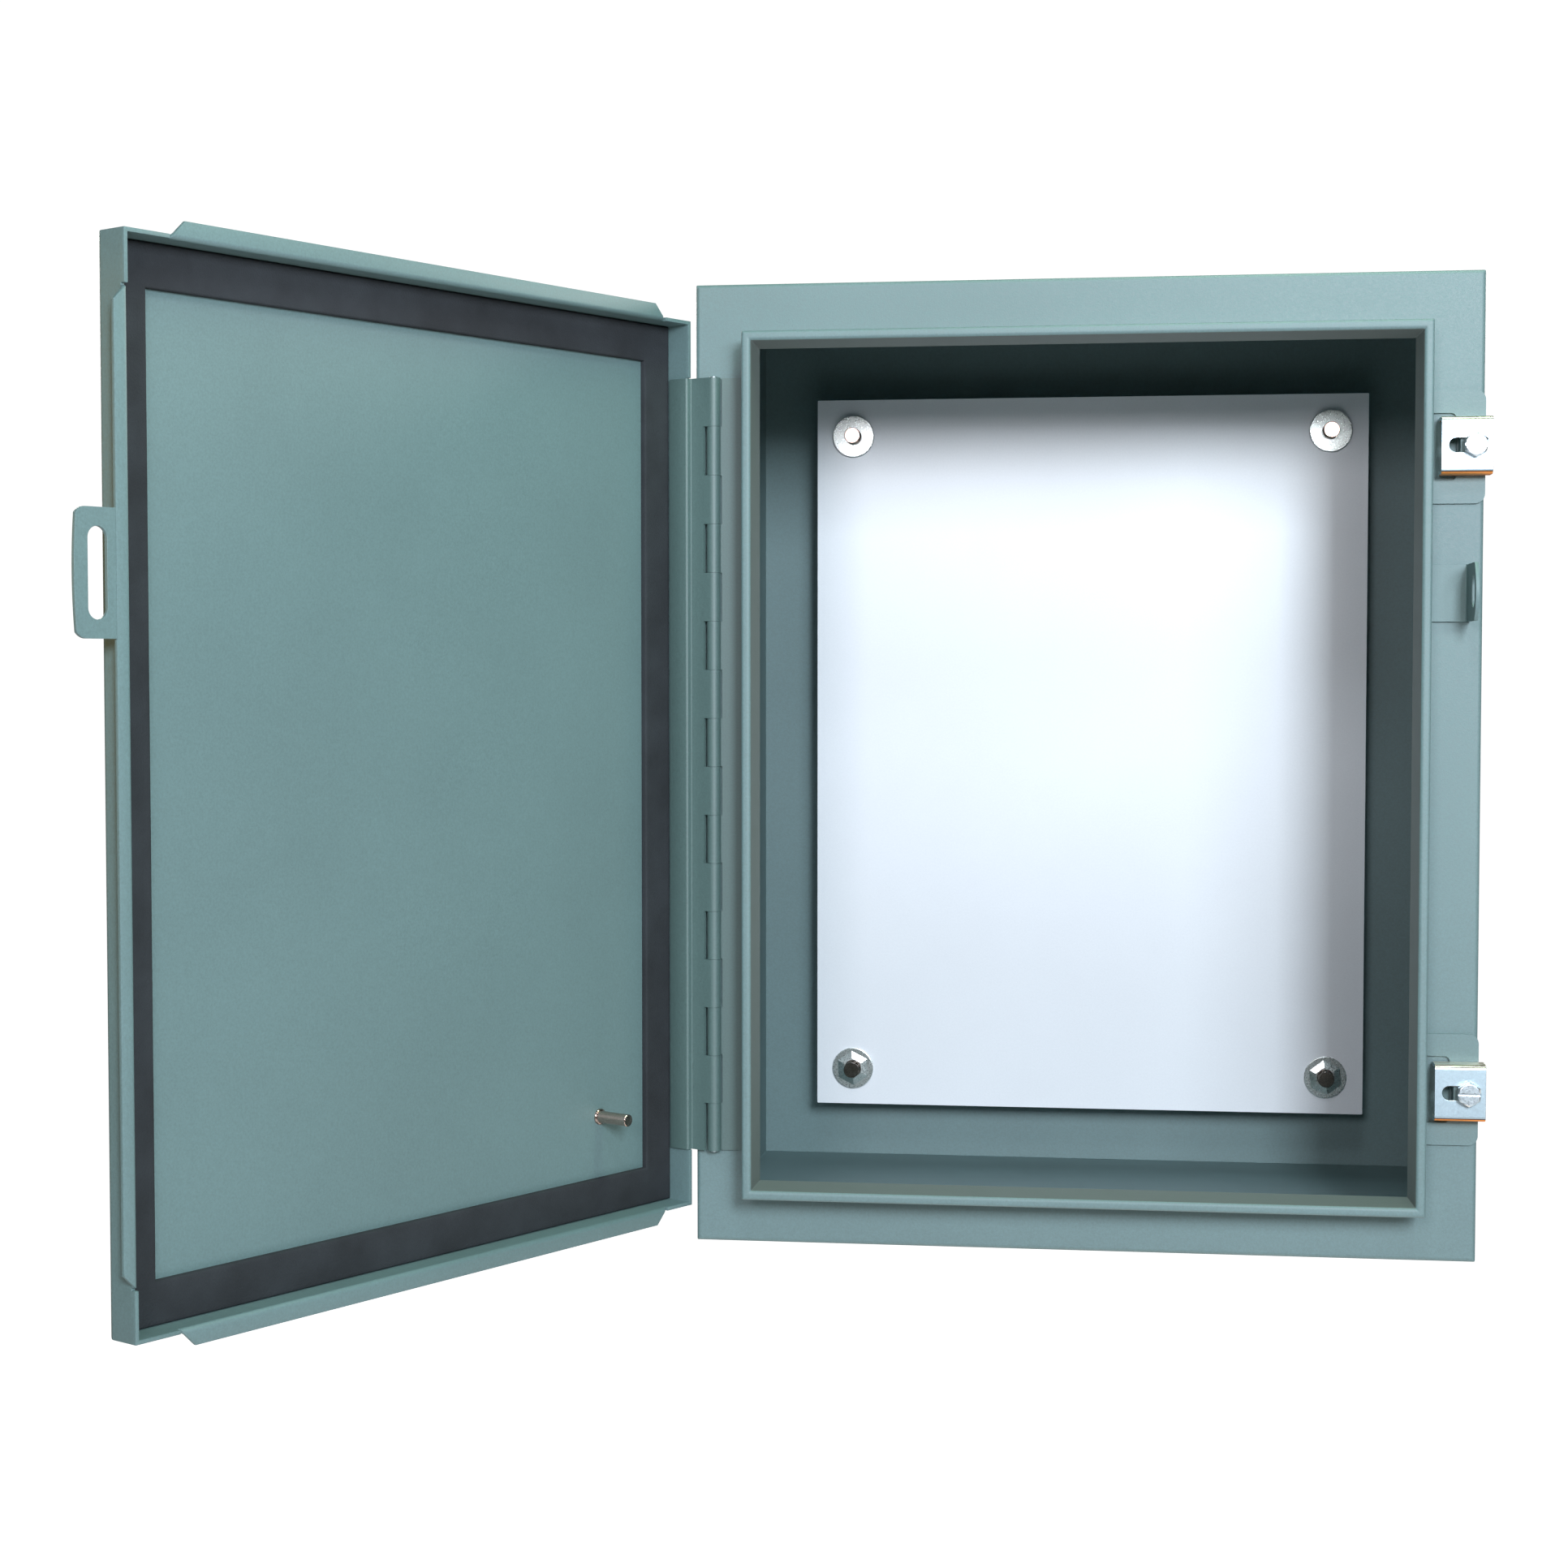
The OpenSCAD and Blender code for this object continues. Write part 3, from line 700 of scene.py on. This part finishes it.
# ---------- turned and threaded parts ----------
def hexagon(af, turn=0.0):
    """Radius of a hexagon of that width across flats, turned by that many degrees."""
    def radius(angle):
        """Radius at an angle, measured from the middle of the nearest flat."""
        beside = (angle - math.radians(turn) + math.pi / 6) % (math.pi / 3) - math.pi / 6
        return af / 2 / math.cos(beside)
    return radius


def turned(sections, sides, cyclic=False):
    """Rings about the local z axis from (radius or radius of angle, height), in mm."""
    rings = []
    for radius, height in sections:
        ring = []
        for i in range(sides):
            angle = 2 * math.pi * i / sides
            r = radius(angle) if callable(radius) else radius
            ring.append(Vector((r * math.cos(angle), r * math.sin(angle), height)) * MM)
        rings.append(ring)
    return lofted(rings, cyclic)


def thread_sections(r, pitch, depth, z0, z1):
    """Sections of a threaded rod, eight to a turn of the thread."""
    steps = max(2, round((z1 - z0) / pitch * 8))
    sections = []
    for k in range(steps + 1):
        z = z0 + (z1 - z0) * k / steps

        def radius(angle, z=z):
            turn = (z / pitch - angle / (2 * math.pi)) % 1.0
            return r - depth * max(0.0, min(1.0, 1.5 - 3 * abs(turn - 0.5)))
        sections.append((radius, z))
    return sections


def outwards(x, y, z, direction=(0, -1, 0)):
    """Matrix that puts a part turned about local z at a front-face point, axis outwards."""
    axis = Vector(direction)
    side = Vector((0, 0, 1)).cross(axis).normalized()
    up = axis.cross(side)
    basis = Matrix((side, up, axis)).transposed().to_4x4()
    return Matrix.Translation(Vector((x, y + FRONT_Y, z)) * MM) @ basis


def make_flange_nut(name, node, x, z, panel_y, turn, flat_out):
    """Pressed washer nut: flat flange and a low crown of six sloping faces."""
    bore, flange, top = 4.9, 2.0, 3.1
    rim, foot_af, crest_af = 12.5, 17.8, 10.6
    sections = [(rim - 0.3, 0.0), (rim, 0.3), (rim, flange - 0.35),
                (rim - 0.12, flange - 0.1), (rim - 0.4, flange),
                (hexagon(foot_af + 0.4, turn), flange), (hexagon(foot_af, turn), flange + 0.08),
                (hexagon(crest_af + 0.3, turn), top - 0.02), (hexagon(crest_af, turn), top),
                (bore + 0.2, top), (bore, top - 0.15), (bore, 0.0)]
    if flat_out:
        sections = [(radius, top - height) for radius, height in sections]
    points, faces = turned(sections, sides=120, cyclic=True)
    build(name, points, faces, "zinc_hardware", "cabinet", [node],
          place=outwards(x, panel_y, z), smooth_angle=8.0)


def make_panel_stud(name, node, x, z, tip_y, panel_back, box_back):
    """Collar against the panel's back, then the threaded end that carries the nut."""
    length = panel_back - tip_y
    shoulder = box_back - panel_back
    shoulder_r, thread_r, pitch, groove = 8.0, 4.75, 1.59, 0.75
    sections = [(shoulder_r - 0.4, -shoulder), (shoulder_r, -shoulder + 0.4),
                (shoulder_r, -0.4), (shoulder_r - 0.4, 0.0), (thread_r - 0.45, 0.0)]
    sections += thread_sections(thread_r, pitch, groove, 0.2, length - 1.2)
    sections += [(thread_r, length - 1.0), (thread_r, length - 0.45), (thread_r - 0.4, length)]
    points, faces = turned(sections, sides=64)
    build(name, points, faces, "copper_stud", "cabinet", [node],
          place=outwards(x, panel_back, z), smooth_angle=30.0)


def make_panel_fixings():
    """A nut and a stud at each corner; the upper two nuts sit with their flat side out."""
    panel_low, panel_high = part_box("inner_panel")
    panel_front = panel_low.y / MM - FRONT_Y
    panel_back = panel_high.y / MM - FRONT_Y
    for corner, turn, flat_out in (("ul", 62, True), ("ur", 40, True), ("ll", 63, False),
                                   ("lr", 7, False)):
        low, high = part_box("panel_stud_" + corner)
        centre = (low + high) / 2 / MM
        make_flange_nut("flange_nut_" + corner + "_pressed", "flange_nut_" + corner,
                        centre.x, centre.z, panel_front, turn, flat_out)
        make_panel_stud("panel_stud_" + corner + "_threaded", "panel_stud_" + corner,
                        centre.x, centre.z, low.y / MM - FRONT_Y, panel_back,
                        high.y / MM - FRONT_Y)


def make_ground_stud():
    """Copper-coloured stud on the door's inner face, its end chamfered."""
    back, foot_r, stud_r, tip = DOOR_FACE_Y + SHEET, 4.2, 3.175, 19.95
    sections = [(foot_r, 0.0), (foot_r, 0.7), (foot_r - 0.3, 1.15)]
    sections += [(stud_r + 0.125, 1.35), (stud_r - 0.025, 1.8)]
    sections += [(stud_r, 2.2), (stud_r, 2.6), (stud_r, tip - 0.95), (stud_r, tip - 0.3)]
    sections += [(stud_r - 0.225, tip)]
    points, faces = turned(sections, sides=64)
    place = DOOR_REST @ outwards(GROUND_X, back, GROUND_Z, (0, 1, 0))
    build("door_ground_stud_copper", points, faces, "copper_stud", "door",
          ["door_ground_stud"], place=place, smooth_angle=30.0)


# ---------- clamps ----------
def channel_line(r, half_h, steps):
    """Outer or inner line of the channel's section in (y, z), round both bends."""
    centre_y, centre_z = CLAMP_FACE_Y + CLAMP_R, CLAMP_HALF_H - CLAMP_R
    side = [(CLAMP_BACK_Y, half_h)]
    side += [(centre_y + y, centre_z + z) for y, z in arc(0, 0, r, 90, 180, steps)]
    return side + [(y, -z) for y, z in side[::-1]]


def make_clamp(name, z0):
    """Channel with rounded bends, slotted for its screw."""
    outer = channel_line(CLAMP_R, CLAMP_HALF_H, 6)
    inner = channel_line(CLAMP_R - SHEET, CLAMP_HALF_H - SHEET, 3)
    section = outer + inner[::-1]
    rings = [at_front([(x, y, z0 + z) for y, z in section]) for x in (CLAMP_X0, CLAMP_X1)]
    points, faces = lofted(rings)
    clamp = build(name + "_channel", points, faces, "stainless", name, [name])
    # the clamp takes the steel with painted reflections on its bends
    clamp.data.materials[0] = clamp_steel_painted_reflections
    carve(clamp, punch(slot_outline(SLOT_X0, SLOT_X1, z0, SLOT_H / 2),
                       CLAMP_FACE_Y - 2, CLAMP_FACE_Y + 4))
    bm = bmesh.new()
    bm.from_mesh(clamp.data)
    bmesh.ops.dissolve_limit(bm, angle_limit=math.radians(1), verts=bm.verts, edges=bm.edges)
    soften(bm, 0.22, 50.0)
    bm.to_mesh(clamp.data)
    bm.free()
    shade(clamp.data)
    keep_flats(clamp)


def slot_outline(x0, x1, z, r):
    return arc(x1 - r, z, r, -90, 90, 12) + arc(x0 + r, z, r, 90, 270, 12)


def screw_sections(head, af, shank):
    """Threaded shank, washer face, and a hexagon with its corners chamfered off."""
    crown = hexagon(af)
    thread_r, pitch, groove, washer_r = 3.12, 1.27, 0.6, 5.3

    def clipped(limit):
        return lambda angle: min(crown(angle), limit)

    sections = [(2.3, -shank)]
    sections += thread_sections(thread_r, pitch, groove, -shank + 0.3, -0.9)
    sections += [(2.9, -0.6), (2.9, 0.0), (washer_r, 0.0), (washer_r, 0.25)]
    sections += [(clipped(5.75), 0.35), (crown, 0.85), (crown, head - 0.75)]
    sections += [(clipped(5.9), head - 0.4), (clipped(washer_r), head - 0.08)]
    return sections + [(washer_r - 0.4, head)]


def make_screw(name, z0):
    """Hex washer-faced screw with a driver slot, its shank threaded."""
    head, af, shank = 4.4, 11.1, 23.0
    seat_y = CLAMP_FACE_Y - 0.2
    points, faces = turned(screw_sections(head, af, shank), sides=48)
    screw = build(name + "_hex", points, faces, "stainless", name, [name],
                  place=outwards(SCREW_X, seat_y, z0), smooth_angle=24.0)
    half_w, half_slot, slot_depth = 10.0, 0.7, 1.4
    slot = [(SCREW_X + u * half_w, z0 + v * half_slot)
            for u, v in ((-1, -1), (1, -1), (1, 1), (-1, 1))]
    carve(screw, punch(slot, seat_y - head - 2, seat_y - head + slot_depth))
    shade(screw.data, 24.0)
    keep_flats(screw)


# ---------- CAD nodes that keep their shape ----------
def dress_cad_nodes():
    """Carried-over solids get their finish and a softly broken edge."""
    looks = {m["slot"]: SLOT_LOOKS[m["slot"]] for m in frame["record"]["materials"]}
    for node in frame["nodes"].values():
        slots = node.data.materials
        for i, material in enumerate(slots):
            if material is not None and material.name in looks:
                slots[i] = looks[material.name]
        if not node.hide_render:
            break_edges(node)


def break_edges(node):
    weld = node.modifiers.new("weld", "WELD")
    weld.merge_threshold = WELD_M
    edge = node.modifiers.new("edge", "BEVEL")
    edge.width = 0.2 * MM
    edge.segments = 2
    edge.limit_method = "ANGLE"
    edge.angle_limit = math.radians(50)


# ---------- stage ----------
FLOOR_GLOW = 0.05           # light the pale floor gives back to the object
LIGHT_TARGET = Vector((0.0, -0.12, 0.0))
KEY_COLOUR, BACK_COLOUR = (0.87, 0.98, 1.08), (1.0, 0.98, 0.95)


def make_stage():
    """Pale floor well below the enclosure; the camera sees it white."""
    size, depth = 30.0, -0.95
    mesh = bpy.data.meshes.new("floor")
    mesh.from_pydata([(-size, -size, depth), (size, -size, depth), (size, size, depth),
                      (-size, size, depth)], [], [(0, 1, 2, 3)])
    floor = linked("floor", mesh)
    material, graph, links, shader = new_material("floor_look")
    tone = spread(graph, links, noise(graph, links, object_coords(graph), 3.0), 0, 1)
    links.new(mix_colours(graph, links, tone, (0.72, 0.72, 0.72), (0.75, 0.75, 0.75)),
              shader.inputs["Base Color"])
    shader.inputs["Roughness"].default_value = 0.9
    shader.inputs["Emission Color"].default_value = (1, 1, 1, 1)
    rays = graph.new("ShaderNodeLightPath")
    links.new(spread(graph, links, rays.outputs["Is Camera Ray"], FLOOR_GLOW, 1.0, (0, 1)),
              shader.inputs["Emission Strength"])
    mesh.materials.append(material)


def area_light(name, azimuth, elevation, distance, size, watts, colour):
    """Softbox aimed at the enclosure; azimuth 0 is straight in front, + to the right."""
    turn, rise = math.radians(azimuth), math.radians(elevation)
    way = Vector((math.sin(turn) * math.cos(rise), -math.cos(turn) * math.cos(rise),
                  math.sin(rise)))
    data = bpy.data.lights.new(name, "AREA")
    data.shape = "RECTANGLE"
    data.size, data.size_y = size
    data.energy = watts
    data.color = colour
    light = linked(name, data)
    light.location = LIGHT_TARGET + way * distance
    light.rotation_euler = (-way).to_track_quat("-Z", "Y").to_euler()
    light.visible_camera = False


def make_world():
    """White studio surround that gives a soft, weaker light than it looks."""
    world = bpy.data.worlds.new("studio")
    scene.world = world
    world.use_nodes = True
    graph, links = world.node_tree.nodes, world.node_tree.links
    graph.clear()
    output = graph.new("ShaderNodeOutputWorld")
    fill = graph.new("ShaderNodeBackground")
    fill.inputs["Color"].default_value = (1.0, 0.98, 0.93, 1)
    fill.inputs["Strength"].default_value = 0.04
    seen = graph.new("ShaderNodeBackground")
    seen.inputs["Color"].default_value = (1, 1, 1, 1)
    seen.inputs["Strength"].default_value = 1.05
    rays = graph.new("ShaderNodeLightPath")
    mix = graph.new("ShaderNodeMixShader")
    links.new(rays.outputs["Is Camera Ray"], mix.inputs["Fac"])
    links.new(fill.outputs["Background"], mix.inputs[1])
    links.new(seen.outputs["Background"], mix.inputs[2])
    links.new(mix.outputs["Shader"], output.inputs["Surface"])


def make_lights():
    area_light("key", 12.5, 16, 2.35, (0.28, 0.55), 33.0, KEY_COLOUR)
    area_light("key_side", 21, 12.5, 2.35, (0.42, 0.36), 12.5, KEY_COLOUR)
    area_light("key_low", 8, 9.5, 2.35, (0.14, 0.14), 1.5, (0.95, 1.0, 1.02))
    area_light("left", -7, 12, 2.35, (0.36, 0.36), 11.0, (0.97, 0.96, 1.02))
    area_light("brow", 1, 40, 1.6, (0.20, 0.20), 2.9, (0.90, 0.98, 1.06))
    area_light("top", 28, 70, 1.15, (0.34, 0.34), 7.0, (0.72, 1.0, 0.76))
    area_light("right", 72, -3, 1.15, (0.34, 0.34), 0.9, (1.0, 0.90, 0.80))
    area_light("warm_left", -60, 8, 1.15, (0.34, 0.34), 0.6, (1.0, 0.64, 0.06))
    area_light("warm_low", 15, -72, 0.9, (0.40, 0.40), 0.36, (1.0, 0.38, 0.10))
    area_light("back_left", -125, 22, 2.0, (0.6, 0.6), 27.0, BACK_COLOUR)
    area_light("back_right", 135, 25, 2.0, (0.6, 0.6), 22.0, BACK_COLOUR)


def make_camera():
    data = bpy.data.cameras.new("camera")
    data.sensor_width = 36.0
    data.lens = 59.54
    camera = linked("camera", data)
    camera.location = (0.0253, -1.6166, 0.0491)
    camera.rotation_euler = (math.radians(87.566), 0.0, math.radians(7.60))
    scene.camera = camera


make_cabinet()
make_door_pan()
make_hinge()
make_gasket()
make_panel_fixings()
make_ground_stud()
for side, where in (("upper", 1), ("lower", -1)):
    make_clamp("clamp_" + side, where * CLAMP_Z)
    make_screw("clamp_screw_" + side, where * CLAMP_Z)
dress_cad_nodes()
make_stage()
make_world()
make_lights()
make_camera()
scene.view_settings.view_transform = "Standard"
